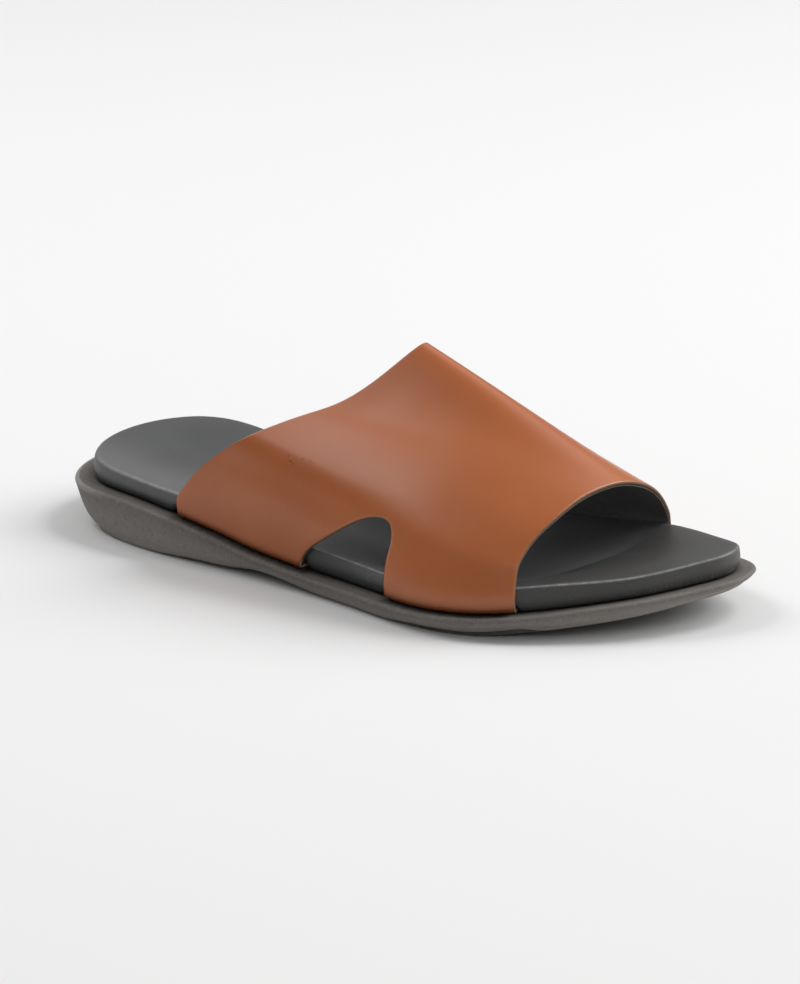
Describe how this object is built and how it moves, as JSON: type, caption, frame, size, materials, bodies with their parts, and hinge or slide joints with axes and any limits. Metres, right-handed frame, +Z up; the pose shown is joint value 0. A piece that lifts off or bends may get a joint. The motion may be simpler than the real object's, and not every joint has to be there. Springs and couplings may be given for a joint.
{
  "type": "slide sandal",
  "caption": "Open-toe, open-heel slide sandal for a right foot: notched leather instep band on a dished footbed over a rubber outsole with a tapered heel.",
  "frame": {"origin": "on the floor under the middle of the outsole's outline", "axes": "+X from heel to toe, +Y towards the inner side of the foot, +Z up"},
  "size_m": [0.292, 0.1178, 0.086],
  "materials": {
    "outsole_rubber": "matte, finely speckled taupe moulded rubber",
    "footbed_wrap": "matte charcoal wrap over a moulded bed",
    "band_leather": "smooth burnished tan leather, semi-gloss, with a lighter cut edge",
    "band_lining": "matte dark lining inside the band"
  },
  "bodies": {
    "root": {"outsole": "outsole_rubber", "footbed": "footbed_wrap", "upper": "band_leather"}
  },
  "joints": []
}
